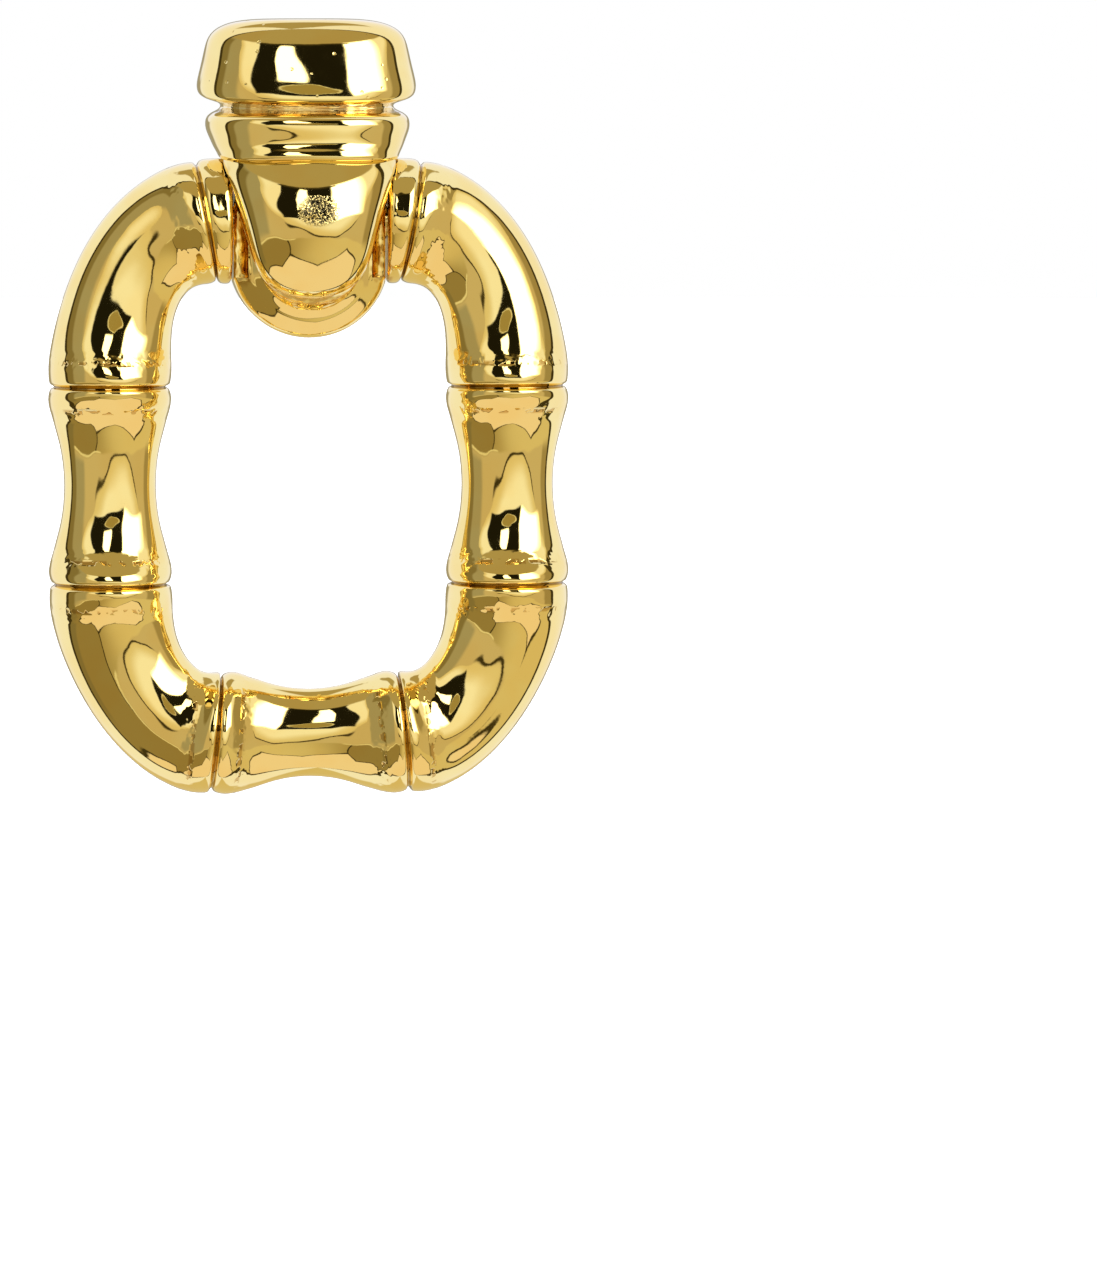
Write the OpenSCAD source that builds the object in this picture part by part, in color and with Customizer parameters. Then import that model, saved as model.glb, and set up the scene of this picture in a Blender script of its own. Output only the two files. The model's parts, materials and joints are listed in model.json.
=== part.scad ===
// Bamboo door-knocker earring: a cast clip top with a domed tongue, and a hoop of seven
// cast bamboo lengths and two short stubs that swings on a cross pin behind the tongue.
// Frame: the origin is on the back of the cap, where the post meets the ear lobe.
// +Z is up, -Y is the front that is seen when the earring is worn, +Y goes into the ear.

/* [Hoop] */
// Width of the hoop between the centre lines of its two sides
hoop_w = 32.6; // [30:0.1:35]
// Drop from the pin to the centre line of the bottom cane
hoop_drop = 42; // [38:0.1:45]
// Half the width of the raised ring at each end of a cane
bead_r = 5.05; // [4.8:0.05:5.2]
// Half the thickness of the raised ring, front to back
bead_depth = 5.15; // [4.9:0.05:5.25]
// Half the width of a side cane at its waist
side_waist_r = 3.75; // [3.4:0.05:4.2]
// Half the thickness of a side cane at its waist
side_waist_depth = 2.65; // [2.4:0.05:3.6]
// Half the width of the bottom cane at its waist
bottom_waist_r = 3.6; // [3.4:0.05:4.2]
// Half the thickness of the bottom cane at its waist
bottom_waist_depth = 2.85; // [2.4:0.05:3.6]
// Half the width of a corner cane in the middle
elbow_r = 4.5; // [4:0.05:4.8]
// Half the thickness of a corner cane in the middle
elbow_depth = 3.6; // [2.6:0.05:4.2]
// Depth of the groove between two canes
groove_depth = 0.5; // [0.3:0.05:0.7]
// Drop from the pin to the upper joint of a side cane
upper_joint_drop = 13.45; // [12.5:0.05:14.5]
// Drop from the pin to the lower joint of a side cane
lower_joint_drop = 29.7; // [28:0.1:31]
// Half the width between the joints of the top stubs
top_joint_x = 8.4; // [8:0.1:9]
// Half the length of the bottom cane
bottom_joint_x = 7.75; // [7:0.05:8.5]
// Half the gap between the flat cheeks that face the tongue
cheek_x = 6.35; // [6.2:0.05:6.6]

/* [Clip top] */
// Half the width of the cap at its widest
cap_half_w = 9.05; // [8.6:0.05:9.5]
// How far the front of the tongue stands out from the ear
tongue_out = 13.4; // [13:0.1:14]
// Half the width of the housing between its side slots
housing_half_w = 5.05; // [5:0.05:5.2]
// Radius of the round lower end of the housing
housing_end_r = 6.5; // [6.3:0.1:6.6]

/* [Hinge] */
// Radius of the cross pin
pin_r = 1.3; // [1:0.1:1.4]
// Distance of the pin behind the front of the ear lobe
pin_out = 5.2; // [5.1:0.1:6]
// Height of the pin below the post
pin_drop = 12.55; // [12:0.05:13]
// Running gap round the pin in the housing
pin_play = 0.05; // [0.03:0.01:0.08]
// Gap between the hoop and the clip top
swing_gap = 0.15; // [0.1:0.05:0.25]

/* [Post] */
// Radius of the ear post
post_r = 0.45; // [0.4:0.05:0.5]
// Length of the post behind the cap
post_len = 11; // [9:0.5:13]
// Radius of the solder pad at the root of the post
pad_r = 2; // [1.5:0.1:2.5]

/* [Hidden] */

ring_sides = 32;
round_fn = 64;
overlap = 0.5;
swing_reach = 12;
gold = [0.93, 0.76, 0.36];
pin = [0, -pin_out, -pin_drop];

// One swept cane

// Rise from the waist to the bead, seen from a joint
flare = [
    // distance from the joint, share of the rise across, share at the front and back
    [0.12, 0.68, 0.82],
    [0.30, 0.86, 0.985],
    [0.75, 0.97, 0.98],
    [1.25, 0.995, 0.84],
    [1.85, 0.93, 0.60],
    [2.50, 0.79, 0.39],
    [3.30, 0.62, 0.26]
];
far_flare = [
    // share of the way from there to the middle, share across, share at the front and back
    [0.27, 0.34, 0.155],
    [0.60, 0.10, 0.05],
    [1.00, 0.00, 0.00]
];
flare_end = flare[len(flare) - 1][0];

// Rows of the flare for a whole cane of this length, from joint to joint
function cane_rows(length) =
    let (half = concat(flare, [for (row = far_flare)
        [flare_end + (length / 2 - flare_end) * row[0], row[1], row[2]]]))
    concat(half, [for (i = [len(half) - 2:-1:0])
        [length - half[i][0], half[i][1], half[i][2]]]);

// Point and heading on a cubic curve; a and b are [place, heading, length of the handle]
function heading(angle) = [cos(angle), sin(angle)];
function curve_point(t, a, b) =
    let (p1 = a[0] + heading(a[1]) * a[2], p2 = b[0] - heading(b[1]) * b[2])
    pow(1 - t, 3) * a[0] + 3 * pow(1 - t, 2) * t * p1 + 3 * (1 - t) * t * t * p2
        + pow(t, 3) * b[0];
function curve_angle(t, a, b) =
    let (step = 0.002, d = curve_point(t + step, a, b) - curve_point(t - step, a, b))
    atan2(d[1], d[0]);
function curve_length(a, b, parts = 40) =
    let (p = [for (i = [0:parts]) curve_point(i / parts, a, b)])
    sum([for (i = [1:parts]) norm(p[i] - p[i - 1])]);
function sum(v, i = 0) = i < len(v) ? v[i] + sum(v, i + 1) : 0;

// Joints of the hoop, from the left cheek round the bottom to the right cheek
side_x = hoop_w / 2;
top_heading = 10;
bottom_tilt = 5.3;
joints = [
    // place [x, drop], heading going down the left side, tilt of the groove
    [[-top_joint_x, 0], 180 + top_heading, 0],
    [[-side_x, -upper_joint_drop], 270, 0],
    [[-side_x, -lower_joint_drop], 270, 0],
    [[-bottom_joint_x, -hoop_drop], 360, -bottom_tilt],
    [[bottom_joint_x, -hoop_drop], 360, bottom_tilt],
    [[side_x, -lower_joint_drop], 450, 0],
    [[side_x, -upper_joint_drop], 450, 0],
    [[top_joint_x, 0], 540 - top_heading, 0]
];
canes = [
    // handle at the first joint, handle at the second, half width and thickness of the middle
    [5.7, 7.2, elbow_r, elbow_depth],
    [5, 5, side_waist_r, side_waist_depth],
    [6.5, 4.7, elbow_r, elbow_depth],
    [5, 5, bottom_waist_r, bottom_waist_depth],
    [4.7, 6.5, elbow_r, elbow_depth],
    [5, 5, side_waist_r, side_waist_depth],
    [7.2, 5.7, elbow_r, elbow_depth]
];
tilt_reach = 3;

// A ring is [centre, angle, half width, half thickness]
function joint_ring(i) = [
    joints[i][0],
    joints[i][1] + joints[i][2],
    bead_r - groove_depth,
    bead_depth - groove_depth
];
function cane_rings(i) =
    let (
        a = [joints[i][0], joints[i][1], canes[i][0]],
        b = [joints[i + 1][0], joints[i + 1][1], canes[i][1]],
        length = curve_length(a, b)
    )
    [for (row = cane_rows(length))
        let (
            t = row[0] / length,
            tilt = joints[i][2] * max(0, 1 - row[0] / tilt_reach)
                + joints[i + 1][2] * max(0, 1 - (length - row[0]) / tilt_reach),
            angle = curve_angle(t, a, b) + 360 * floor(joints[i][1] / 360)
        )
        [
            curve_point(t, a, b),
            angle + tilt,
            canes[i][2] + (bead_r - canes[i][2]) * row[1],
            canes[i][3] + (bead_depth - canes[i][3]) * row[2]
        ]];

// The short stub between a top joint and its cheek; side is -1 left, 1 right
stub_r = bead_r + 0.1;
stub = [
    // share of the way from the joint to the cheek, radius
    [0.08, stub_r - 0.22],
    [0.20, stub_r - 0.04],
    [0.40, stub_r],
    [0.75, stub_r - 0.02],
    [0.92, stub_r - 0.14],
    [1.00, stub_r - 0.42]
];
function stub_rings(side) = [for (row = stub)
    [[side * (top_joint_x + (cheek_x - top_joint_x) * row[0]), 0],
     side * top_heading * (1 - row[0]) + 180,
     row[1],
     row[1]]];
function reversed(v) = [for (i = [len(v) - 1:-1:0]) v[i]];

hoop_rings = concat(
    reversed(stub_rings(-1)),
    [for (i = [0:len(canes) - 1]) each concat([joint_ring(i)], cane_rings(i))],
    [joint_ring(len(joints) - 1)],
    stub_rings(1)
);

function ring_points(ring) = [for (k = [0:ring_sides - 1])
    let (a = 360 * k / ring_sides, across = heading(ring[1] + 90) * ring[2] * cos(a))
    [ring[0][0] + across[0], -ring[3] * sin(a), ring[0][1] + across[1]]];

// A closed tube through rows of points; every row has n points
module skin(rows, n) {
    last = len(rows) - 1;
    side_faces = [for (j = [0:last - 1], k = [0:n - 1])
        let (p = j * n + k, q = j * n + (k + 1) % n)
        each [[p, p + n, q], [q, p + n, q + n]]];
    start_face = [for (k = [0:n - 1]) k];
    end_face = [for (k = [n - 1:-1:0]) last * n + k];
    polyhedron([for (row = rows) each row], concat([start_face, end_face], side_faces));
}

module along_pin(x0, x1, r) {
    translate([x0, pin[1], pin[2]])
        rotate([0, 90, 0])
            cylinder(h = x1 - x0, r = r, $fn = round_fn);
}

seat_depth = 1.7;
seat_play = 0.01;
module bamboo_hoop() color(gold) difference() {
    translate(pin) skin([for (ring = hoop_rings) ring_points(ring)], ring_sides);
    along_pin(-cheek_x - seat_depth, cheek_x + seat_depth, pin_r + seat_play);
}

pin_end = cheek_x + seat_depth - 0.1;
pin_chamfer = 0.25;
module hinge_pin() color(gold) {
    translate([0, pin[1], pin[2]]) rotate([0, 90, 0]) rotate_extrude($fn = round_fn)
        polygon([
            [0, -pin_end],
            [pin_r - pin_chamfer, -pin_end],
            [pin_r, -pin_end + pin_chamfer],
            [pin_r, pin_end - pin_chamfer],
            [pin_r - pin_chamfer, pin_end],
            [0, pin_end]
        ]);
}

// The clip top: one loft of level sections for the cap, neck and collar, one for the tongue

top_sides = 32;
cap_roundness = 2.5;
tongue_roundness = 2;
back_roundness = 5;
function signed_pow(v, p) = sign(v) * pow(abs(v), p);
// Outline of one section, round in front and nearly square behind; its front droops
// below its sides
function level(row, roundness) = [for (k = [0:top_sides - 1])
    let (
        a = -360 * k / top_sides,
        power = 2 / (sin(a) < 0 ? roundness : back_roundness),
        reach = sin(a) < 0 ? row[3] - row[2] : row[4] - row[3],
        y = row[3] + reach * signed_pow(sin(a), power)
    )
    [row[1] * signed_pow(cos(a), power),
     y,
     row[0] - row[5] * max(0, row[3] - y) / (row[3] - row[2])]];

cap_w = cap_half_w;
collar_w = cap_half_w - 0.65;
cap_rows = [
    // height, half width, front, side, back, droop
    [3.95, 3.30, -4.90, -2.2, -1.4, 0],
    [3.85, 5.00, -5.60, -2.2, -0.7, 0],
    [3.65, 6.20, -6.14, -2.3, -0.3, 0],
    [3.32, 7.10, -6.60, -2.4, -0.1, 0],
    [2.84, cap_w - 1.25, -7.08, -2.5, 0, 0],
    [2.15, cap_w - 0.83, -7.56, -2.5, 0, 0],
    [1.20, cap_w - 0.61, -8.01, -2.5, 0, 0.05],
    [0.20, cap_w - 0.39, -8.41, -2.5, 0, 0.15],
    [-0.80, cap_w - 0.13, -8.69, -2.5, 0, 0.25],
    [-1.50, cap_w, -8.83, -2.5, 0, 0.35],
    [-2.05, cap_w - 0.09, -8.90, -2.6, 0, 0.45],
    [-2.32, cap_w - 0.33, -8.88, -2.7, -0.1, 0.47],
    [-2.48, cap_w - 0.67, -8.62, -2.8, -0.2, 0.48],
    [-2.64, cap_w - 1.20, -8.05, -3.0, -0.5, 0.47],
    [-2.85, cap_w - 1.75, -7.55, -3.1, -0.7, 0.40],
    [-3.15, cap_w - 2.00, -7.38, -3.2, -0.9, 0.28],
    [-3.45, collar_w - 1.15, -7.80, -3.4, -1.0, 0.12],
    [-3.66, collar_w - 0.65, -9.20, -3.6, -1.0, 0.03],
    [-3.80, collar_w - 0.42, -10.20, -3.7, -0.95, 0],
    [-4.00, collar_w - 0.18, -10.78, -3.8, -0.9, 0],
    [-4.28, collar_w - 0.04, -10.98, -3.95, -0.85, 0],
    [-4.65, collar_w, -11.03, -4.1, -0.8, 0],
    [-5.10, collar_w - 0.06, -11.02, -4.2, -0.8, 0],
    [-5.55, collar_w - 0.24, -10.98, -4.4, -0.85, 0],
    [-5.95, collar_w - 0.42, -10.95, -4.7, -0.95, 0],
    [-6.30, collar_w - 0.56, -10.98, -5.0, -1.1, 0],
    [-6.55, collar_w - 0.68, -11.10, -5.2, -1.2, 0],
    [-6.80, collar_w - 0.82, -11.24, -5.5, -1.3, 0],
    [-7.05, collar_w - 0.95, -11.34, -5.8, -1.5, 0],
    [-7.28, collar_w - 1.05, -11.34, -6.1, -2.0, 0],
    [-7.46, collar_w - 1.18, -11.22, -6.4, -2.5, 0],
    [-7.60, collar_w - 1.35, -10.95, -6.8, -4.0, 0]
];
t_out = -tongue_out;
tongue_rows = [
    // height, half width, front, side, back, droop
    [-6.60, 6.95, t_out + 2.9, -6.8, -6.0, 0],
    [-7.60, 7.10, t_out + 2.35, -7.3, -6.4, 0],
    [-8.20, 7.04, t_out + 1.78, -7.9, -6.8, 0],
    [-9.20, 6.78, t_out + 1.05, -8.6, -7.0, 0],
    [-10.50, 6.38, t_out + 0.42, -9.2, -7.2, 0],
    [-12.00, 5.85, t_out, -9.9, -7.2, 0],
    [-13.50, 5.38, t_out + 0.05, -10.3, -7.2, 0],
    [-15.00, 4.95, t_out + 0.43, -10.45, -7.2, 0],
    [-16.20, 4.55, t_out + 0.95, -10.3, -7.2, 0],
    [-17.20, 4.00, t_out + 1.55, -10.0, -7.2, 0],
    [-17.95, 3.38, t_out + 2.13, -9.7, -7.2, 0],
    [-18.50, 2.68, t_out + 2.7, -9.4, -7.2, 0],
    [-18.90, 1.95, t_out + 3.25, -9.1, -7.2, 0],
    [-19.18, 1.10, t_out + 3.75, -8.9, -7.2, 0],
    [-19.27, 0.50, t_out + 4.1, -8.8, -7.2, 0]
];

// The housing behind the tongue is a U: half a turned disc and a straight block above it

housing_axis_z = pin[2] - 3;
housing_top_z = -4.2;
rim = housing_end_r;
housing_profile = [
    // distance from the middle, distance out from the ear
    [0, 2.15],
    [rim - 0.80, 2.15],
    [rim - 0.35, 2.25],
    [rim - 0.10, 2.50],
    [rim, 2.90],
    [rim, 6.60],
    [rim - 0.04, 6.90],
    [rim - 0.14, 7.18],
    [rim - 0.30, 7.38],
    [rim - 0.50, 7.53],
    [rim - 0.78, 7.71],
    [rim - 1.13, 7.92],
    [rim - 1.43, 8.09],
    [rim - 1.56, 8.12],
    [rim - 1.78, 8.24],
    [rim - 2.08, 8.43],
    [rim - 2.43, 8.73],
    [rim - 2.88, 9.16],
    [rim - 3.48, 9.86],
    [0, 9.86]
];
module housing() translate([0, 0, housing_axis_z]) {
    rotate([90, 0, 0])
        rotate([0, 0, 180])
            rotate_extrude(angle = 180, $fn = round_fn) polygon(housing_profile);
    linear_extrude(height = housing_top_z - housing_axis_z)
        polygon(concat(
            [for (p = housing_profile) [p[0], -p[1]]],
            [for (p = reversed(housing_profile)) [-p[0], -p[1]]]
        ));
}

// The slots that part the tongue's housing from the cheeks of the hoop; they leave a thin
// wall over the pin
slot_r = 0.8;
slot_out = pin_out + pin_r + pin_play + 0.3;
slot_low_z = -17.1;
slot_high_z = -7.6;
module slot(side)
    translate([side * (housing_half_w + slot_r), -slot_out - slot_r, slot_low_z])
        linear_extrude(height = slot_high_z - slot_low_z) {
            circle(r = slot_r, $fn = round_fn);
            translate([-slot_r, -6]) square([2 * slot_r, 6]);
        }

// The thin plate that closes the housing from behind
plate_out = 0.9;
plate_depth = 1.8;
plate_w = cheek_x - swing_gap;
module back_plate() translate([0, 0, housing_axis_z]) {
    rotate([90, 0, 0]) translate([0, 0, plate_out])
        cylinder(h = plate_depth, r = plate_w, $fn = round_fn);
    translate([-plate_w, -plate_out - plate_depth, 0])
        cube([2 * plate_w, plate_depth, housing_top_z - housing_axis_z]);
}

module slotted_housing() difference() {
    housing();
    slot(-1);
    slot(1);
}

// The casting without its back plate, cut clear of the swinging stubs
module notched_top() difference() {
    union() {
        skin([for (row = cap_rows) level(row, cap_roundness)], top_sides);
        skin([for (row = tongue_rows) level(row, tongue_roundness)], top_sides);
        slotted_housing();
    }
    along_pin(-swing_reach, -plate_w, stub_r + swing_gap);
    along_pin(plate_w, swing_reach, stub_r + swing_gap);
}

pad_h = 0.8;
module clip_top() color(gold) difference() {
    union() {
        notched_top();
        back_plate();
    }
    along_pin(-plate_w - overlap, plate_w + overlap, pin_r + pin_play);
    rotate([90, 0, 0])
        translate([0, 0, -overlap])
            cylinder(h = pad_h + overlap, r = pad_r + pin_play, $fn = round_fn);
}

// The post: a straight wire with a round tip on a pad let into the back of the cap
module ear_post() color(gold) rotate([-90, 0, 0]) {
    translate([0, 0, -pad_h + 0.05]) cylinder(h = pad_h - 0.05, r = pad_r, $fn = round_fn);
    cylinder(h = post_len - post_r, r = post_r, $fn = round_fn);
    translate([0, 0, post_len - post_r]) sphere(r = post_r, $fn = round_fn);
}

clip_top();
bamboo_hoop();
hinge_pin();
ear_post();
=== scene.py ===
import json
from collections import namedtuple
from math import atan, atan2, cos, degrees, radians, sin

import bmesh
import bpy
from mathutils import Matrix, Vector


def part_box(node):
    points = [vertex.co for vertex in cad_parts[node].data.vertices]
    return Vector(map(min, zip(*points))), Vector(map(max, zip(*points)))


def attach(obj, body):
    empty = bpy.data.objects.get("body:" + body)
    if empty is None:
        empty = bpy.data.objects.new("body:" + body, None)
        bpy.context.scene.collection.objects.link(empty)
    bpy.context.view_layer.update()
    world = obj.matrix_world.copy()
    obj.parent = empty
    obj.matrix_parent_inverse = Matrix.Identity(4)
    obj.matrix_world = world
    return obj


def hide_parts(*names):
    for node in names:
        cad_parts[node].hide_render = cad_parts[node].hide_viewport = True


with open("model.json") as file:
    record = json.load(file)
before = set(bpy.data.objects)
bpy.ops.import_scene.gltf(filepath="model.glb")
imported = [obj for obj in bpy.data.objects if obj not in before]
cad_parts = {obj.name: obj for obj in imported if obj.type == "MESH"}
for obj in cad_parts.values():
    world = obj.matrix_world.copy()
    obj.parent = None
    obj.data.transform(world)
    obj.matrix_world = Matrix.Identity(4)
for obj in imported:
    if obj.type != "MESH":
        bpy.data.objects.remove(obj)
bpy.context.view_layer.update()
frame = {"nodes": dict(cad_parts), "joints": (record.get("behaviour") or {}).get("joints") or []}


# Camera
# It stands a little to the left of the earring and just above it, and looks past it, so that
# the earring hangs in the upper left of the picture as it does in the photo.

MM = 0.001
picture_w, picture_h = 1097, 1280
mm_per_pixel = 0.082
aim_pixel = (309, 409)
aim_point = Vector((0, -5, -28)) * MM
camera_azimuth, camera_elevation = radians(-3), radians(3)
camera_distance = 775 * MM
nearest_seen = 10 * MM

towards_camera = Vector((
    sin(camera_azimuth) * cos(camera_elevation),
    -cos(camera_azimuth) * cos(camera_elevation),
    sin(camera_elevation),
))
camera_right = Vector((0, 0, 1)).cross(towards_camera).normalized()
camera_up = towards_camera.cross(camera_right)
picture_middle = aim_point + MM * mm_per_pixel * (
    camera_right * (picture_w / 2 - aim_pixel[0]) - camera_up * (picture_h / 2 - aim_pixel[1])
)
bpy.ops.object.camera_add(location=aim_point + towards_camera * camera_distance)
camera = bpy.context.object
camera.rotation_euler = (picture_middle - camera.location).to_track_quat("-Z", "Y").to_euler()
camera.data.sensor_fit = "VERTICAL"
camera.data.angle = 2 * atan(picture_h / 2 * mm_per_pixel * MM / camera_distance)
camera.data.clip_start = nearest_seen
bpy.context.scene.camera = camera
bpy.context.scene.view_settings.view_transform = "Standard"


# Studio
# A pale floor below the hanging earring, and a tent that shows only in what the gold mirrors:
# tan cards in front, a black card with a slit over the camera, a large soft box on its right,
# white cloth round the sides, and cards again far behind.

class Socket:
    """A node socket that takes abs, + - and * with numbers and with other sockets."""

    def __init__(self, tree, socket=None):
        self.tree = tree
        self.socket = socket

    def node(self, kind, inputs=None, output=0, **settings):
        """A new node of this kind: its settings first, then its inputs' values or links."""
        made = self.tree.nodes.new(kind)
        for name, value in settings.items():
            setattr(made, name, value)
        for name, value in (inputs or {}).items():
            if isinstance(value, Socket):
                self.tree.links.new(value.socket, made.inputs[name])
            else:
                made.inputs[name].default_value = value
        return Socket(self.tree, made.outputs[output] if made.outputs else None)

    def feeds(self, target):
        """Links this socket to an input that is already there."""
        self.tree.links.new(self.socket, target)

    def maths(self, operation, first, second=0.0):
        return self.node("ShaderNodeMath", {0: first, 1: second}, operation=operation)

    def __abs__(self):
        return self.maths("ABSOLUTE", self)

    def __add__(self, other):
        return self.maths("ADD", self, other)

    def __sub__(self, other):
        return self.maths("SUBTRACT", self, other)

    def __rsub__(self, other):
        return self.maths("SUBTRACT", other, self)

    def __mul__(self, other):
        return self.maths("MULTIPLY", self, other)

    __radd__ = __add__
    __rmul__ = __mul__

    def at_least(self, other):
        return self.maths("MAXIMUM", self, other)

    def at_most(self, other):
        return self.maths("MINIMUM", self, other)

    def rise(self, start, end):
        """0 below start and 1 above end, with a smooth step between them."""
        limits = {"Value": self, "From Min": start, "From Max": end}
        return self.node("ShaderNodeMapRange", limits, interpolation_type="SMOOTHSTEP")

    def fall(self, start, end):
        """1 below start and 0 above end, with a smooth step between them."""
        return 1 - self.rise(start, end)

    def between(self, low, high, soft):
        """1 between low and high and 0 outside them, each edge soft by this much both ways."""
        return self.rise(low - soft, low + soft) * self.fall(high - soft, high + soft)

    def blend(self, first, second):
        """The first colour where this is 0, going over to the second where it is 1."""
        first, second = (
            colour if isinstance(colour, Socket) else (*colour, 1) for colour in (first, second)
        )
        # a Mix node has its factor at input 0 and its colours at inputs 6 and 7 and output 2
        ends = {0: self, 6: first, 7: second}
        return self.node("ShaderNodeMix", ends, output=2, data_type="RGBA")

    def covered(self, mask, colour):
        """This colour, with another over it where the mask is 1."""
        return mask.blend(self, colour)


tent = bpy.data.worlds.new("photo_tent")
bpy.context.scene.world = tent
tent.use_nodes = True
tent.node_tree.nodes.clear()
blank = Socket(tent.node_tree)
way = blank.node("ShaderNodeTexCoord", output="Generated")
way_x, way_y, way_z = (
    blank.node("ShaderNodeSeparateXYZ", {0: way}, output=axis) for axis in "XYZ"
)

# The tent is laid out in degrees: round to the right from straight in front of the earring,
# up from level, and round from the front to either side
right = degrees(1) * blank.maths("ARCTAN2", way_x, -1 * way_y)
up = degrees(1) * blank.maths("ARCSINE", way_z)
side = abs(right)

# What each part of the tent sends into the gold
floor_glow = (0.90, 0.79, 0.70)
low_card = (0.40, 0.33, 0.17)
low_card_lit = (0.70, 0.62, 0.40)
tan_card = (0.60, 0.52, 0.36)
ceiling_card = (0.43, 0.36, 0.20)
left_card = (0.38, 0.36, 0.28)
left_petal = (0.30, 0.24, 0.11)
right_card = (0.36, 0.30, 0.17)
olive_card = (0.23, 0.195, 0.10)
black_card = (0.012, 0.011, 0.006)
lens_tan = (0.36, 0.29, 0.12)
arch_low = (0.76, 0.68, 0.46)
arch_high = (0.98, 1.00, 1.05)
pale_seam = (0.80, 0.76, 0.58)
white_cloth = (0.95, 1.02, 1.34)
soft_box = (4.5, 4.5, 4.5)
slit = (3.5, 3.5, 3.5)
dark_seam = (0.05, 0.04, 0.015)


def sway(fineness, reach):
    """A gentle wave of up to about a third of this reach, so that no edge is quite straight."""
    wave = blank.node("ShaderNodeTexNoise", {"Vector": way, "Scale": fineness, "Detail": 0})
    return (wave - 0.5) * reach


slack_right = right + sway(2.1, 18)
slack_up = up + sway(2.7, 12)

# Low card with pointed petals along its lower edge, and the floor showing under them
petal_edges = (
    # rise for each degree to the right, and the height straight ahead
    (0.75, -20.5), (-0.4, -50.2), (0.8, -64.6), (-0.6, -1.6),
)
left_petal_foot = -50
left_edge, middle_left, middle_right, right_edge = (
    slope * slack_right + start for slope, start in petal_edges
)
left_edge = left_edge.at_least(left_petal_foot)
middle_edge = middle_left.at_least(middle_right)
above_petals = slack_up - left_edge.at_most(middle_edge).at_most(right_edge)
glow = slack_right.rise(-34, 26).blend(low_card, low_card_lit)
glow = glow.covered(slack_right.fall(-27, -26), left_petal)
glow = glow.covered(slack_right.between(-27.5, -25.5, 0.5), dark_seam)
glow = glow.covered(above_petals.fall(-0.6, 0.6), floor_glow)
glow = glow.covered(above_petals.between(-0.9, 0.9, 0.5), dark_seam)

# Tan card, the cards at the sides, and a pale glow that rises like an arch in the middle
glow = glow.covered(slack_up.rise(-21, -18), tan_card)
glow = glow.covered(slack_up.between(-21, -19.5, 0.5) * right.fall(-18, -14), pale_seam)
glow = glow.covered(right.fall(-54, -46) * slack_up.rise(-20, -14), left_card)
glow = glow.covered(right.fall(-78, -72) * up.between(-40, 50, 4), olive_card)
glow = glow.covered(right.rise(70, 76) * up.rise(-26, -16), right_card)
arch_foot, arch_middle, arch_bend = -18, 14, 0.012
beside_arch = slack_right - arch_middle
above_arch = slack_up - arch_foot - arch_bend * beside_arch * beside_arch
glow = glow.covered(above_arch.rise(-0.5, 1.5), arch_low)
glow = glow.covered(above_arch.rise(1, 16), arch_high)
glow = glow.covered(above_arch.between(-1.4, 0.2, 0.5) * up.fall(-3, 4), dark_seam)

# Black card with a tan lens low in it and a slit above, and the soft box beside it
glow = glow.covered(slack_up.rise(8, 9.5) * slack_right.between(-30, 23, 1), black_card)
lens_right, lens_up, lens_half_w, lens_half_h_squared = 3, 17, 16, 26
above_lens = slack_up - lens_up
from_lens = (1 / lens_half_w) * abs(slack_right - lens_right) + (
    (1 / lens_half_h_squared) * above_lens * above_lens
)
glow = glow.covered(from_lens.fall(0.92, 1), pale_seam)
glow = glow.covered(from_lens.fall(0.8, 0.88), lens_tan)
slit_start, slit_bend, slit_lean = -13, 36, 0.5
in_slit = slack_right - slit_start - slit_lean * (slack_up - slit_bend).at_least(0)
glow = glow.covered(
    slack_up.between(23, 49, 1) * in_slit.rise(-1, 1) * slack_right.fall(0, 2), slit
)
glow = glow.covered(
    slack_up.rise(8, 12) * slack_right.rise(23, 25) * right.fall(48, 66), soft_box
)

# Card overhead, and white cloth round the sides with a seam where it begins
glow = glow.covered(up.rise(51, 54), ceiling_card)
glow = glow.covered(up.between(50.8, 52.6, 0.6) * right.between(-34, 30, 2), dark_seam)
glow = glow.covered(side.rise(94, 97), white_cloth)
glow = glow.covered(side.between(89.5, 96, 0.7), dark_seam)

# Far behind the earring: cards again, so that its back and sides are lit as its front is
behind = (side + sway(2.3, 8)).rise(146, 156)
glow = glow.covered(behind * slack_up.fall(-24, -16), low_card_lit)
glow = glow.covered(behind * slack_up.between(-20, 8, 2), left_card)
glow = glow.covered(behind * up.rise(50, 54), ceiling_card)

photo_white = (1, 1, 1)
seen_straight = blank.node("ShaderNodeLightPath", output="Is Camera Ray")
background = blank.node(
    "ShaderNodeBackground", {"Color": glow.covered(seen_straight, photo_white)}
)
blank.node("ShaderNodeOutputWorld", {"Surface": background})

floor_drop, floor_r, floor_sides = 80 * MM, 1500 * MM, 96
floor_paint, floor_roughness, floor_own_light = (0.93, 0.92, 0.9), 0.9, 0.6
bpy.ops.mesh.primitive_circle_add(
    vertices=floor_sides, radius=floor_r, fill_type="NGON", location=(0, 0, -floor_drop)
)
floor = bpy.context.object
floor.name = "floor"
bpy.ops.object.transform_apply()
floor_white = bpy.data.materials.new("floor_white")
floor_white.use_nodes = True
floor_shader = floor_white.node_tree.nodes["Principled BSDF"]
floor_shader.inputs["Base Color"].default_value = (*floor_paint, 1)
floor_shader.inputs["Roughness"].default_value = floor_roughness
floor_shader.inputs["Emission Color"].default_value = (*photo_white, 1)
floor_shader.inputs["Emission Strength"].default_value = floor_own_light
floor.data.materials.append(floor_white)
floor.visible_glossy = False


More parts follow.
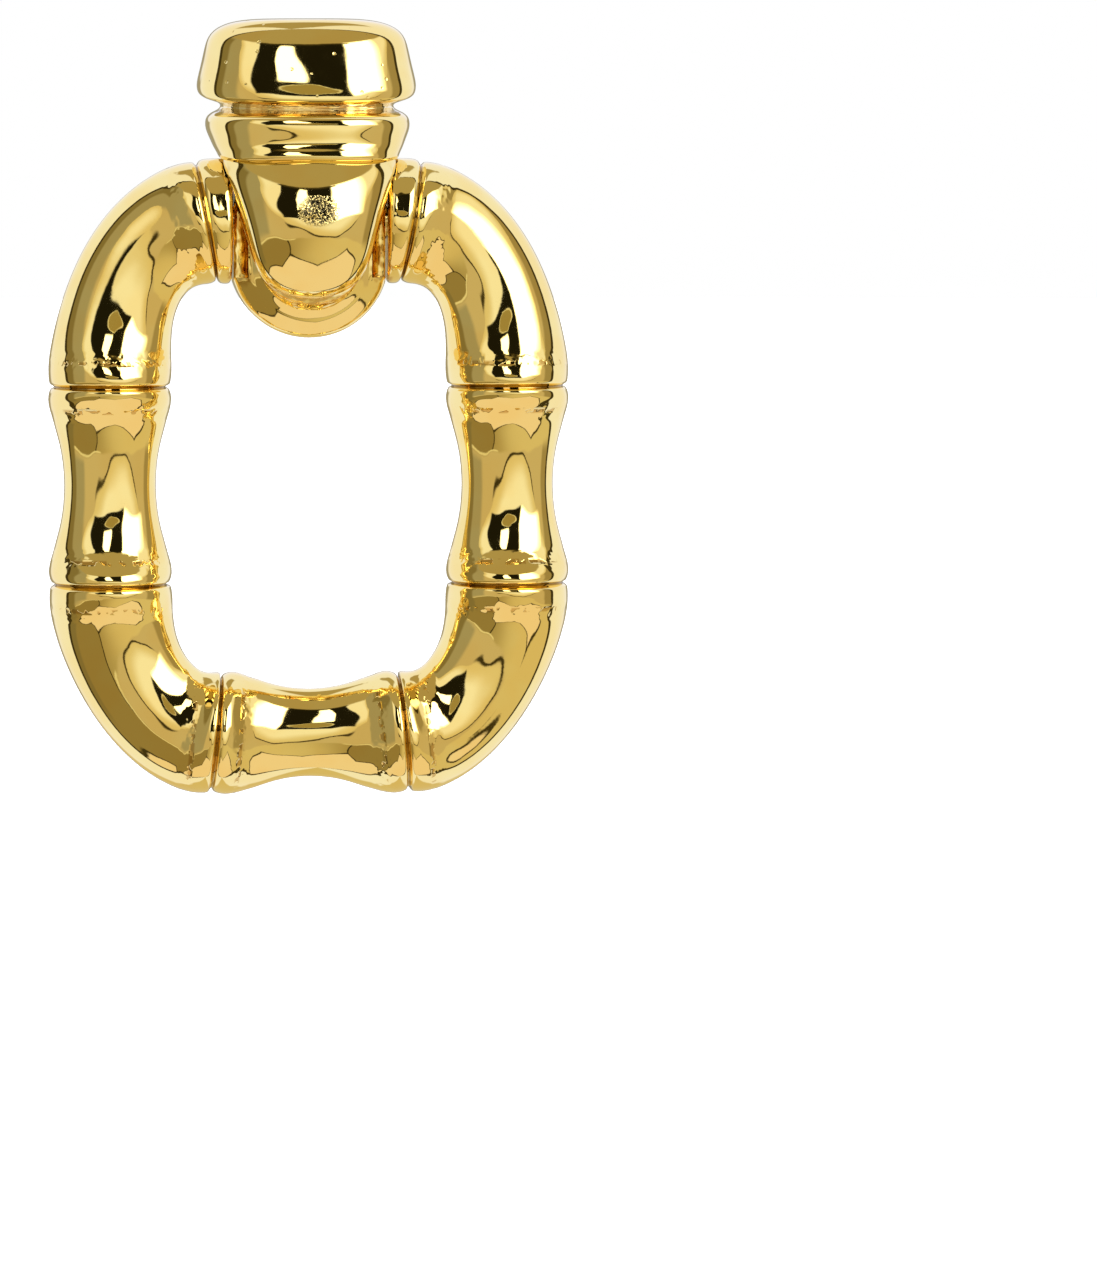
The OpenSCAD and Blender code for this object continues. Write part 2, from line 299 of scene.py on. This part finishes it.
# Bamboo hoop
# One brass casting, hollow and soldered from two halves, then polished and gold plated. Its
# seven canes are oval at the waist and nearly round where they meet in raised joints. Two
# stubs end in flat cheeks that the cross pin goes into.

pivot = Vector(frame["joints"][0]["pos_m"])
hoop_low, hoop_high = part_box("bamboo_hoop")
bead_r, bead_depth = 5.05 * MM, 5.15 * MM
side_x = hoop_high.x - bead_r
hoop_drop = pivot.z - hoop_low.z - bead_r
stub_r, stub_depth = 5.15 * MM, 5.15 * MM
groove_depth = 0.5 * MM
upper_drop, lower_drop = 13.45 * MM, 29.7 * MM
top_joint_x, bottom_joint_x, cheek_x = 8.4 * MM, 7.75 * MM, 6.35 * MM
top_heading, bottom_tilt, tilt_reach = 10, 5.3, 3 * MM

# Distance from the joint in mm, share of the rise from the waist to the bead across the
# cane, and the same share at its front and back
flare = (
    (0.10, 0.62, 0.72), (0.18, 0.80, 0.94), (0.30, 0.86, 0.985), (0.50, 0.93, 1.00),
    (0.75, 0.97, 0.98), (1.00, 1.00, 0.945), (1.25, 0.995, 0.88), (1.55, 0.97, 0.775),
    (1.85, 0.93, 0.665), (2.15, 0.87, 0.565), (2.50, 0.79, 0.465), (2.90, 0.70, 0.375),
    (3.30, 0.62, 0.305),
)
far_flare = (
    # how far on from there to the middle, share across, share at the front and back
    (0.12, 0.50, 0.22), (0.27, 0.34, 0.138), (0.43, 0.21, 0.077), (0.60, 0.10, 0.034),
    (0.80, 0.03, 0.008), (1.00, 0.0, 0.0),
)

joint_rows = [
    # place across and up from the pin, heading and tilt of the groove in degrees
    (Vector((-top_joint_x, 0)), 180 + top_heading, 0),
    (Vector((-side_x, -upper_drop)), 270, 0),
    (Vector((-side_x, -lower_drop)), 270, 0),
    (Vector((-bottom_joint_x, -hoop_drop)), 360, -bottom_tilt),
    (Vector((bottom_joint_x, -hoop_drop)), 360, bottom_tilt),
    (Vector((side_x, -lower_drop)), 450, 0),
    (Vector((side_x, -upper_drop)), 450, 0),
    (Vector((top_joint_x, 0)), 540 - top_heading, 0),
]
elbow = (4.5 * MM, 3.4 * MM)
side_cane = (3.75 * MM, 2.65 * MM)
bottom_cane = (3.6 * MM, 2.85 * MM)
canes = [
    # curve handle at the first joint, at the second, waist radius across and front to back
    (5.7 * MM, 7.2 * MM, elbow),
    (5 * MM, 5 * MM, side_cane),
    (6.5 * MM, 4.7 * MM, elbow),
    (5 * MM, 5 * MM, bottom_cane),
    (4.7 * MM, 6.5 * MM, elbow),
    (5 * MM, 5 * MM, side_cane),
    (7.2 * MM, 5.7 * MM, elbow),
]
stub = (
    # share of the way from the joint to the cheek, how far the radius is short of full
    (0.05, 0.35 * MM), (0.10, 0.16 * MM), (0.20, 0.04 * MM), (0.35, 0), (0.55, 0),
    (0.75, 0.02 * MM), (0.88, 0.09 * MM), (0.96, 0.22 * MM), (1.0, 0.42 * MM),
)

Joint = namedtuple("Joint", "place angle tilt")
joints = [Joint(*row) for row in joint_rows]
Ring = namedtuple("Ring", "place angle across front")
hoop_sides = 48
curve_steps, small_step = 60, 0.002


def flare_rows(length):
    """The rows of the flare from one joint to the middle of a cane of this length."""
    last = flare[-1][0]
    reach = length / MM / 2 - last
    return list(flare) + [(last + reach * on, wide, deep) for on, wide, deep in far_flare]


def heading(angle):
    """A step of length 1 this way, with 0 degrees to the right and 90 up."""
    return Vector((cos(radians(angle)), sin(radians(angle))))


def curve_point(t, start, end):
    """A place on the curve between two ends, each given as its place, heading and handle."""
    (p0, a0, h0), (p3, a3, h3) = start, end
    p1, p2 = p0 + heading(a0) * h0, p3 - heading(a3) * h3
    return (1 - t) ** 3 * p0 + 3 * (1 - t) ** 2 * t * p1 + 3 * (1 - t) * t * t * p2 + t ** 3 * p3


def curve_angle(t, start, end):
    """The curve's heading at this place, from -180 to 180 degrees."""
    ahead = curve_point(t + small_step, start, end) - curve_point(t - small_step, start, end)
    return degrees(atan2(ahead.y, ahead.x))


def stub_rings(x_sign):
    """The rings of one stub, from its joint to its cheek."""
    gap = cheek_x - top_joint_x
    return [
        Ring(Vector((x_sign * (top_joint_x + gap * share), 0)),
             180 + x_sign * top_heading * (share - 1), stub_r - short, stub_depth - short)
        for share, short in stub
    ]


def groove_ring(joint):
    """The ring at the bottom of a joint's groove."""
    return Ring(
        joint.place, joint.angle + joint.tilt, bead_r - groove_depth, bead_depth - groove_depth
    )


def cane_rings(first, second, cane):
    """The rings of one cane, from the joint before it to the joint after it."""
    first_handle, second_handle, (across, front) = cane
    start = (first.place, first.angle, first_handle)
    end = (second.place, second.angle, second_handle)
    points = [curve_point(i / curve_steps, start, end) for i in range(curve_steps + 1)]
    length = sum((b - a).length for a, b in zip(points, points[1:]))
    rows = flare_rows(length)
    rows += [(length / MM - away, wide, deep) for away, wide, deep in rows[-2::-1]]
    made = []
    for away, wide, deep in rows:
        s = away * MM
        tilt = first.tilt * max(0, 1 - s / tilt_reach)
        tilt += second.tilt * max(0, 1 - (length - s) / tilt_reach)
        # the angle, in the same turn of the circle as the joints' headings
        angle = curve_angle(s / length, start, end)
        rough_angle = first.angle + (second.angle - first.angle) * s / length
        angle += 360 * round((rough_angle - angle) / 360)
        made.append(Ring(
            curve_point(s / length, start, end), angle + tilt,
            across + (bead_r - across) * wide, front + (bead_depth - front) * deep,
        ))
    return made


# From the left cheek round the hoop to the right cheek
rings = list(reversed(stub_rings(-1)))
for before, after, cane in zip(joints, joints[1:], canes):
    rings.append(groove_ring(before))
    rings += cane_rings(before, after, cane)
rings.append(groove_ring(joints[-1]))
rings += stub_rings(1)


def grip(obj, wanted):
    """Selects, in edit mode, the vertices that pass a test of their number and place."""
    mesh = bmesh.from_edit_mesh(obj.data)
    mesh.select_mode = {"VERT"}
    for face in mesh.faces:
        face.select = False
    for edge in mesh.edges:
        edge.select = False
    for vertex in mesh.verts:
        vertex.select = wanted(vertex.index, vertex.co)
    mesh.select_flush(True)
    bmesh.update_edit_mesh(obj.data)


def place_of(ring):
    """Where the middle of a ring lies on the part."""
    return pivot + Vector((ring.place.x, 0, ring.place.y))


along_x = (0, radians(90), 0)
bpy.ops.object.select_all(action="DESELECT")
bpy.ops.mesh.primitive_circle_add(
    vertices=hoop_sides, radius=rings[0].across, location=place_of(rings[0]), rotation=along_x
)
hoop = bpy.context.object
hoop.name = "bamboo_hoop_cast"
bpy.ops.object.transform_apply()
bpy.ops.object.mode_set(mode="EDIT")
bpy.ops.mesh.select_all(action="SELECT")
for before, after in zip(rings, rings[1:]):
    middle = place_of(after)
    bpy.ops.mesh.extrude_region_move(
        TRANSFORM_OT_translate={"value": middle - place_of(before)}
    )
    bpy.ops.transform.rotate(
        value=radians(after.angle - before.angle), orient_axis="Y", center_override=middle
    )
    wider, deeper = after.across / before.across, after.front / before.front
    bpy.ops.transform.resize(value=(wider, deeper, wider), center_override=middle)
bpy.ops.object.mode_set(mode="OBJECT")
round_off = hoop.modifiers.new("round_off", "SUBSURF")
round_off.levels = round_off.render_levels = 1
bpy.ops.object.modifier_apply(modifier="round_off")

# The cheeks are closed, and bored for the pin
MICRON = 0.000001
bore_r, bore_depth = 1.51 * MM, 1.7 * MM
cheek_r = rings[0].across
for end_sign in (-1, 1):
    bpy.ops.object.mode_set(mode="EDIT")
    grip(hoop, lambda i, at: end_sign * at.x > 0 and abs(abs(at.x) - cheek_x) < MICRON
         and at.z > pivot.z - 2 * bead_r)
    bpy.ops.mesh.edge_face_add()
    bpy.ops.mesh.inset(thickness=cheek_r - bore_r)
    bpy.ops.mesh.extrude_region_move(
        TRANSFORM_OT_translate={"value": (end_sign * bore_depth, 0, 0)}
    )
    bpy.ops.object.mode_set(mode="OBJECT")
hoop_crease = radians(35)
bpy.ops.object.mode_set(mode="EDIT")
bpy.ops.mesh.select_all(action="SELECT")
bpy.ops.mesh.normals_make_consistent(inside=False)
bpy.ops.object.mode_set(mode="OBJECT")
bpy.ops.object.shade_smooth_by_angle(angle=hoop_crease)


def metal(name):
    """A new metallic material, with its shader."""
    made = bpy.data.materials.new(name)
    made.use_nodes = True
    shader = made.node_tree.nodes["Principled BSDF"]
    shader.inputs["Metallic"].default_value = 1
    return made, shader


gold, gold_shader = metal("polished_gold_plate")
plate = Socket(gold.node_tree)
place = plate.node("ShaderNodeTexCoord", output="Object")
from_joint = plate.node("ShaderNodeAttribute", output="Fac", attribute_name="from_joint")

# Places on the earring, in mm from its mount
place_x, place_y, place_z = (
    plate.node("ShaderNodeSeparateXYZ", {0: place}, output=axis) * (1 / MM) for axis in "XYZ"
)
beside = abs(place_x)


def speckle(size, detail=2, stretch=(1, 1, 1)):
    """Cloudy noise round 0.5, with spots of about this size in metres."""
    drawn = plate.node("ShaderNodeVectorMath", {0: place, 1: stretch}, operation="MULTIPLY")
    settings = {"Vector": drawn, "Scale": 1 / size, "Detail": detail}
    return plate.node("ShaderNodeTexNoise", settings)


def patch(x, z, wide, high):
    """1 in the middle of an oval on the front of the earring, fading to 0 at its edge."""
    across, upward = (place_x - x) * (1 / wide), (place_z - z) * (1 / high)
    return (across * across + upward * upward).fall(0.3, 1) * place_y.fall(-9, -8)


# Places on the earring, in mm: the slots beside the tongue and the crease under it, the neck,
# the foot of each joint, the worn patch on the tongue, pits on the cap. The worn patch and the
# pits are real marks. The others get real casting roughness as bumps, and painted shade in
# their colour, with a painted highlight on the neck as well
in_slot = beside.between(4.9, 6.7, 0.2) * place_z.between(-17.6, -8, 0.5)
in_slot = in_slot * place_y.between(-9, -5.8, 0.3)
in_neck = place_z.between(-3.75, -2.85, 0.15) * place_y.between(-8.5, -4.5, 0.4)
joint_foot = from_joint.between(1.5, 2.7, 0.4)
joint_line = from_joint.fall(0.05, 0.13)
# Painted shade, with real dents: small spots at the foot of each lower joint on the front,
# dented in the relief and darkened to the amber of the hollows
foot_dents_and_shade = from_joint.between(1.8, 2.15, 0.1) * speckle(0.7 * MM, 1).rise(0.5, 0.56)
foot_dents_and_shade = foot_dents_and_shade * place_y.fall(-8, -7.6) * place_z.fall(-22, -20)
worn = patch(0.45, -11.5, 1.9, 1.4)
scuffs = speckle(0.17 * MM, 1).rise(0.42, 0.62)
tongue_foot = place_y.between(-10.5, -8.7, 0.15) * place_z.between(-19.6, -11, 0.5)
tongue_foot = tongue_foot * beside.fall(4.9, 5.3)
cap_front = place_z.rise(-2.6, -2)
pit_spacing = 1.4 * MM
pit = plate.node("ShaderNodeTexVoronoi", {"Vector": place, "Scale": 1 / pit_spacing})
pits = pit.fall(0.05, 0.12)

warm_gold, deep_gold = (0.97, 0.76, 0.28), (0.97, 0.73, 0.25)
# Colours of painted shade in the hollows and in the joints' grooves, of a painted highlight on
# the neck, and of scuffs
recess_shade_gold, groove_shade_brown = (0.62, 0.36, 0.08), (0.36, 0.22, 0.06)
neck_highlight_gold, scuff_brown = (1.0, 0.90, 0.66), (0.10, 0.08, 0.04)
# Painted shade: the slots beside the tongue, the crease under it and the neck are darkened in
# cloudy spots to a deep amber, as if shade gathered in these hollows
shaded_recesses = in_slot.at_least(0.4 * in_neck).at_least(0.8 * tongue_foot)
recess_shade_spots = shaded_recesses * speckle(0.9 * MM).rise(0.42, 0.6)
tone = speckle(4 * MM).rise(0.4, 0.6).blend(warm_gold, deep_gold)
# Painted highlight: the neck is paled towards a whitish gold
tone = tone.covered(0.6 * in_neck, neck_highlight_gold)
tone = tone.covered(recess_shade_spots.at_least(0.8 * foot_dents_and_shade), recess_shade_gold)
tone = tone.covered(worn * scuffs.fall(0.4, 0.8), scuff_brown)
# Painted shade: the bottom of each joint's groove is darkened to a deep brown
tone = tone.covered(0.9 * joint_line, groove_shade_brown)
tone.feeds(gold_shader.inputs["Base Color"])

polish, dull_spots, worn_dull = 0.03, 0.03, 0.05
haze = polish + dull_spots * speckle(1.5 * MM).rise(0.45, 0.7) + worn_dull * worn
haze.feeds(gold_shader.inputs["Roughness"])
relief = (
    16 * MICRON * speckle(2.6 * MM, 1) + 1.2 * MICRON * speckle(0.5 * MM, 2)
    + 150 * MICRON * in_slot * speckle(1.1 * MM, 1)
    + 90 * MICRON * tongue_foot * speckle(0.9 * MM, 1)
    + 40 * MICRON * in_neck * speckle(0.4 * MM, 1, stretch=(0.3, 1, 1))
    + 60 * MICRON * joint_foot * speckle(0.8 * MM, 1)
    - 20 * MICRON * foot_dents_and_shade
    + 26 * MICRON * worn * (scuffs - 0.4)
    - 30 * MICRON * pits * cap_front
)
bump = plate.node("ShaderNodeBump", {"Height": relief, "Distance": 1, "Strength": 1})
bump.feeds(gold_shader.inputs["Normal"])

# How far each point is from the joint beside it, in mm
joint_marks = hoop.data.attributes.new("from_joint", "FLOAT", "POINT")
for vertex, mark in zip(hoop.data.vertices, joint_marks.data):
    at = Vector((vertex.co.x - pivot.x, vertex.co.z - pivot.z))
    near = min(joints, key=lambda joint: (joint.place - at).length)
    mark.value = abs((at - near.place).dot(heading(near.angle + near.tilt))) / MM
hoop.data.materials.append(gold)
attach(hoop, "hoop")
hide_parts("bamboo_hoop")


# Clip top
# One brass casting, plated as the hoop is: a squat cap, a neck, a collar with two ridges and
# a domed tongue that hides the hinge. Behind the tongue a housing, solid and round below,
# carries the cross pin, and a thin plate closes it at the back.

Level = namedtuple("Level", "height half_w front widest back droop")
# a hair's breadth in metres, by which places are told apart
hair = 1e-7
along_y = (radians(90), 0, 0)
round_sides = 96


def move_outline(obj, places):
    """Moves each vertex of a single outline, in turn, to its place."""
    for number, goal in enumerate(places):
        bpy.ops.object.mode_set(mode="OBJECT")
        step = Vector(goal) - obj.data.vertices[number].co
        bpy.ops.object.mode_set(mode="EDIT")
        grip(obj, lambda i, at: i == number)
        bpy.ops.transform.translate(value=step)


def signed_power(value, power):
    return abs(value) ** power * (1 if value > 0 else -1)


def stack_levels(name, rows, roundness):
    """A solid of level sections, each ring drawn down from the one above and reshaped."""
    sides, squareness = 32, 5
    levels = [Level(*row) for row in rows]
    top = levels[0]
    bpy.ops.object.select_all(action="DESELECT")
    bpy.ops.mesh.primitive_circle_add(
        vertices=sides, radius=top.half_w * MM, fill_type="NGON",
        location=(0, top.widest * MM, top.height * MM),
    )
    made = bpy.context.object
    made.name = name
    bpy.ops.object.transform_apply()
    places = []
    for vertex in made.data.vertices:
        along = vertex.co.x / (top.half_w * MM)
        out = (vertex.co.y / MM - top.widest) / top.half_w
        power = 2 / (roundness if out < 0 else squareness)
        reach = top.widest - top.front if out < 0 else top.back - top.widest
        places.append((
            top.half_w * MM * signed_power(along, power),
            (top.widest + reach * signed_power(out, power)) * MM,
            top.height * MM,
        ))
    bpy.ops.object.mode_set(mode="EDIT")
    move_outline(made, places)
    bpy.ops.mesh.select_all(action="SELECT")
    for above, level in zip(levels, levels[1:]):
        bpy.ops.mesh.extrude_region_move(TRANSFORM_OT_translate={
            "value": (0, (level.widest - above.widest) * MM, (level.height - above.height) * MM)
        })
        middle_y = level.widest * MM
        middle = (0, middle_y, level.height * MM)
        wider = level.half_w / above.half_w
        bpy.ops.transform.resize(value=(wider, 1, 1), center_override=middle)
        mesh = bmesh.from_edit_mesh(made.data)
        mesh.verts.index_update()
        ring = {vertex.index for vertex in mesh.verts if vertex.select}
        grip(made, lambda i, at: i in ring and at.y < middle_y - hair)
        deeper = (level.widest - level.front) / (above.widest - above.front)
        bpy.ops.transform.resize(value=(1, deeper, 1), center_override=middle)
        lean = atan((level.droop - above.droop) / (level.front - level.widest))
        bpy.ops.transform.rotate(value=lean, orient_axis="X", center_override=middle)
        grip(made, lambda i, at: i in ring and at.y > middle_y + hair)
        deeper = (level.back - level.widest) / (above.back - above.widest)
        bpy.ops.transform.resize(value=(1, deeper, 1), center_override=middle)
        grip(made, lambda i, at: i in ring)
    bpy.ops.mesh.select_all(action="SELECT")
    bpy.ops.mesh.normals_make_consistent(inside=False)
    bpy.ops.object.mode_set(mode="OBJECT")
    rounding = made.modifiers.new("rounding", "SUBSURF")
    rounding.levels = rounding.render_levels = 2
    bpy.ops.object.modifier_apply(modifier="rounding")
    return made


cap_rows = [
    # height, half width, places of the front, the widest line and the back, and how far the
    # front hangs down, all in mm
    (3.95, 3.30, -4.90, -2.2, -1.4, 0), (3.85, 5.00, -5.60, -2.2, -0.7, 0),
    (3.65, 6.20, -6.14, -2.3, -0.3, 0), (3.32, 7.10, -6.60, -2.4, -0.1, 0),
    (2.84, 7.80, -7.08, -2.5, 0.0, 0), (2.15, 8.22, -7.56, -2.5, 0.0, 0),
    (1.20, 8.44, -8.01, -2.5, 0.0, 0.05), (0.20, 8.66, -8.41, -2.5, 0.0, 0.15),
    (-0.80, 8.92, -8.69, -2.5, 0.0, 0.25), (-1.50, 9.05, -8.83, -2.5, 0.0, 0.35),
    (-2.05, 8.96, -8.90, -2.6, 0.0, 0.45), (-2.32, 8.72, -8.88, -2.7, -0.1, 0.47),
    (-2.48, 8.38, -8.62, -2.8, -0.2, 0.48), (-2.64, 7.85, -8.05, -3.0, -0.5, 0.47),
    (-2.85, 7.30, -7.55, -3.1, -0.7, 0.40), (-3.15, 7.05, -7.38, -3.2, -0.9, 0.28),
    (-3.45, 7.25, -7.80, -3.4, -1.0, 0.12), (-3.66, 7.75, -9.20, -3.6, -1.0, 0.03),
    (-3.80, 7.98, -10.20, -3.7, -0.95, 0.0), (-4.00, 8.22, -10.78, -3.8, -0.9, 0.0),
    (-4.28, 8.36, -10.98, -3.95, -0.85, 0.0), (-4.65, 8.40, -11.03, -4.1, -0.8, 0.0),
    (-5.10, 8.34, -11.02, -4.2, -0.8, 0.0), (-5.55, 8.16, -10.98, -4.4, -0.85, 0.0),
    (-5.95, 7.98, -10.95, -4.7, -0.95, 0.0), (-6.30, 7.84, -10.98, -5.0, -1.1, 0.0),
    (-6.55, 7.72, -11.10, -5.2, -1.2, 0.0), (-6.80, 7.58, -11.24, -5.5, -1.3, 0.0),
    (-7.05, 7.45, -11.34, -5.8, -1.5, 0.0), (-7.28, 7.35, -11.34, -6.1, -2.0, 0.0),
    (-7.46, 7.22, -11.22, -6.4, -2.5, 0.0), (-7.60, 7.05, -10.95, -6.8, -4.0, 0.0),
]
tongue_rows = [
    # the same, beginning inside the collar
    (-6.60, 6.95, -10.5, -6.8, -6.0, 0), (-7.60, 7.10, -11.05, -7.3, -6.4, 0),
    (-8.20, 7.04, -11.62, -7.9, -6.8, 0), (-9.20, 6.78, -12.35, -8.6, -7.0, 0),
    (-10.50, 6.38, -12.98, -9.2, -7.2, 0), (-12.00, 5.85, -13.40, -9.9, -7.2, 0),
    (-13.50, 5.38, -13.35, -10.3, -7.2, 0), (-15.00, 4.95, -12.97, -10.45, -7.2, 0),
    (-16.20, 4.55, -12.45, -10.3, -7.2, 0), (-17.20, 4.00, -11.85, -10.0, -7.2, 0),
    (-17.95, 3.38, -11.27, -9.7, -7.2, 0), (-18.50, 2.68, -10.7, -9.4, -7.2, 0),
    (-18.90, 1.95, -10.15, -9.1, -7.2, 0), (-19.18, 1.10, -9.65, -8.9, -7.2, 0),
    (-19.27, 0.50, -9.3, -8.8, -7.2, 0),
]
cap_roundness, tongue_roundness = 2.5, 2
clip = stack_levels("clip_top_cast", cap_rows, cap_roundness)
tongue = stack_levels("tongue", tongue_rows, tongue_roundness)


def carve(obj, tool, operation):
    """Joins a tool body to a piece, or cuts it out of it."""
    bpy.ops.object.select_all(action="DESELECT")
    obj.select_set(True)
    bpy.context.view_layer.objects.active = obj
    cut = obj.modifiers.new("cut", "BOOLEAN")
    cut.operation, cut.solver, cut.object = operation, "EXACT", tool
    bpy.ops.object.modifier_apply(modifier="cut")
    bpy.data.objects.remove(tool)


def rod_along_pin(x0, x1, radius):
    """A rod on the pin's axis, from one x to another."""
    bpy.ops.object.select_all(action="DESELECT")
    bpy.ops.mesh.primitive_cylinder_add(
        vertices=round_sides, radius=radius, depth=x1 - x0, rotation=along_x,
        location=((x0 + x1) / 2, pivot.y, pivot.z),
    )
    bpy.ops.object.transform_apply()
    return bpy.context.object


def u_block(name, radius, depth, reach, location, rotation=(0, 0, 0)):
    """A block with a U outline, half a disc below and straight above, turned and then moved."""
    bpy.ops.object.select_all(action="DESELECT")
    bpy.ops.mesh.primitive_cylinder_add(
        vertices=round_sides, radius=radius, depth=depth, rotation=along_y
    )
    block = bpy.context.object
    block.name = name
    bpy.ops.object.transform_apply()
    bpy.ops.object.mode_set(mode="EDIT")
    bpy.ops.mesh.select_all(action="SELECT")
    bpy.ops.mesh.bisect(
        plane_co=(0, 0, 0), plane_no=(0, 0, 1), clear_outer=True, use_fill=True, threshold=hair
    )
    bpy.ops.mesh.extrude_region_move(TRANSFORM_OT_translate={"value": (0, 0, reach)})
    bpy.ops.mesh.select_all(action="SELECT")
    bpy.ops.mesh.remove_doubles(threshold=MICRON)
    bpy.ops.mesh.normals_make_consistent(inside=False)
    bpy.ops.object.mode_set(mode="OBJECT")
    block.rotation_euler, block.location = rotation, location
    bpy.ops.object.transform_apply()
    return block


def flat_face(obj, y):
    """Selects the U face at this y, in edit mode."""
    mesh = bmesh.from_edit_mesh(obj.data)
    mesh.select_mode = {"FACE"}
    for face in mesh.faces:
        face.select = all(abs(vertex.co.y - y) < MICRON for vertex in face.verts)
    mesh.select_flush(True)
    bmesh.update_edit_mesh(obj.data)


housing_axis_z, housing_top_z = pivot.z - 3.0 * MM, -4.2 * MM
housing_r, housing_back, housing_front = 6.5 * MM, -2.9 * MM, -6.6 * MM
# How far in and how far on each step goes from the one before, in mm: a soft edge at the
# back, and at the front a rolled rim and then a sloping apron
back_steps = ((0.10, 0.40), (0.25, 0.25), (0.45, 0.10))
front_steps = (
    (0.04, 0.30), (0.10, 0.28), (0.16, 0.20), (0.20, 0.15), (0.28, 0.18), (0.35, 0.21),
    (0.30, 0.17), (0.13, 0.03), (0.22, 0.12), (0.30, 0.19), (0.35, 0.30), (0.45, 0.43),
    (0.60, 0.70),
)
slot_x, slot_r, slot_floor, slot_mouth = 5.85 * MM, 0.8 * MM, -6.85 * MM, 6 * MM
slot_low, slot_high = -17.1 * MM, -7.6 * MM
tongue_half_w = 6.2 * MM
plate_depth, plate_y = 1.8 * MM, -1.8 * MM

housing = u_block(
    "housing", housing_r, housing_back - housing_front, housing_top_z - housing_axis_z,
    (0, (housing_back + housing_front) / 2, housing_axis_z),
)
bpy.ops.object.mode_set(mode="EDIT")
for face_y, steps in ((housing_back, back_steps), (housing_front, front_steps)):
    flat_face(housing, face_y)
    for inward, onward in steps:
        bpy.ops.mesh.inset(thickness=inward * MM, depth=onward * MM)
bpy.ops.object.mode_set(mode="OBJECT")
for end_sign in (-1, 1):
    slot = u_block(
        "slot", slot_r, slot_high - slot_low, slot_mouth,
        (end_sign * slot_x, slot_floor - slot_r, (slot_low + slot_high) / 2), along_y,
    )
    carve(housing, slot, "DIFFERENCE")
plate_back = u_block(
    "back_plate", tongue_half_w, plate_depth, housing_top_z - housing_axis_z,
    (0, plate_y, housing_axis_z),
)
carve(clip, tongue, "UNION")
carve(clip, housing, "UNION")

# Room for the hoop's stubs at both sides, the plate, the pin's bore and the seat of the pad
swing_gap, past_stub = 0.15 * MM, 12 * MM
pin_play, past_housing = 0.05 * MM, 8 * MM
pad_seat_r, pad_seat_depth = 2.05 * MM, 0.8 * MM
for end_sign in (-1, 1):
    near, far = sorted((end_sign * tongue_half_w, end_sign * past_stub))
    carve(clip, rod_along_pin(near, far, stub_r + swing_gap), "DIFFERENCE")
carve(clip, plate_back, "UNION")
pin_low, pin_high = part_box("hinge_pin")
pin_bore = rod_along_pin(-past_housing, past_housing, (pin_high.z - pin_low.z) / 2 + pin_play)
carve(clip, pin_bore, "DIFFERENCE")
bpy.ops.object.select_all(action="DESELECT")
bpy.ops.mesh.primitive_cylinder_add(
    vertices=round_sides, radius=pad_seat_r, depth=2 * pad_seat_depth, rotation=along_y
)
bpy.ops.object.transform_apply()
carve(clip, bpy.context.object, "DIFFERENCE")

clip_crease = radians(32)
bpy.ops.object.mode_set(mode="EDIT")
bpy.ops.mesh.select_all(action="SELECT")
bpy.ops.mesh.remove_doubles(threshold=MICRON)
bpy.ops.mesh.normals_make_consistent(inside=False)
bpy.ops.object.mode_set(mode="OBJECT")
bpy.ops.object.shade_smooth_by_angle(angle=clip_crease)

# No point of the clip counts as near a joint of the hoop
far_from_joint = 10
clip_marks = clip.data.attributes.new("from_joint", "FLOAT", "POINT")
for mark in clip_marks.data:
    mark.value = far_from_joint
clip.data.materials.clear()
clip.data.materials.append(gold)
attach(clip, "top")
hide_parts("clip_top")


# Hinge pin
# A drawn brass rod with chamfered ends, held fast in the hoop's two cheeks. It turns with
# the hoop in the bore of the housing, which has rubbed fine rings round it.

wire_gold = (0.90, 0.66, 0.24)
wire_polish, wire_haze = 0.16, 0.14


def wire_finish(name, lines, coarse):
    """Gold with fine lines: lines is how much shorter the grain is along x, y and z."""
    finish, shader = metal(name)
    wire = Socket(finish.node_tree)
    at = wire.node("ShaderNodeTexCoord", output="Object")
    drawn = wire.node("ShaderNodeVectorMath", {0: at, 1: lines}, operation="MULTIPLY")
    settings = {"Vector": drawn, "Scale": 1 / coarse, "Detail": 3}
    grain = wire.node("ShaderNodeTexNoise", settings)
    grain.rise(0.35, 0.65).blend(warm_gold, wire_gold).feeds(shader.inputs["Base Color"])
    (wire_polish + wire_haze * grain).feeds(shader.inputs["Roughness"])
    lay = wire.node("ShaderNodeBump", {"Height": 4 * MICRON * grain, "Distance": 1})
    lay.feeds(shader.inputs["Normal"])
    return finish


pin_rings, pin_ring_width = (6, 0.2, 0.2), 0.4 * MM
pin_node = frame["nodes"]["hinge_pin"]
pin_node.material_slots[0].material = wire_finish("rubbed_pin", pin_rings, pin_ring_width)


# Ear post
# A straight plated wire with a rounded tip, soldered by its pad into the back of the cap.
# Drawing the wire left fine lines along it.

post_lines, post_line_width = (5, 0.15, 5), 0.3 * MM
post_node = frame["nodes"]["ear_post"]
post_node.material_slots[0].material = wire_finish("drawn_wire", post_lines, post_line_width)
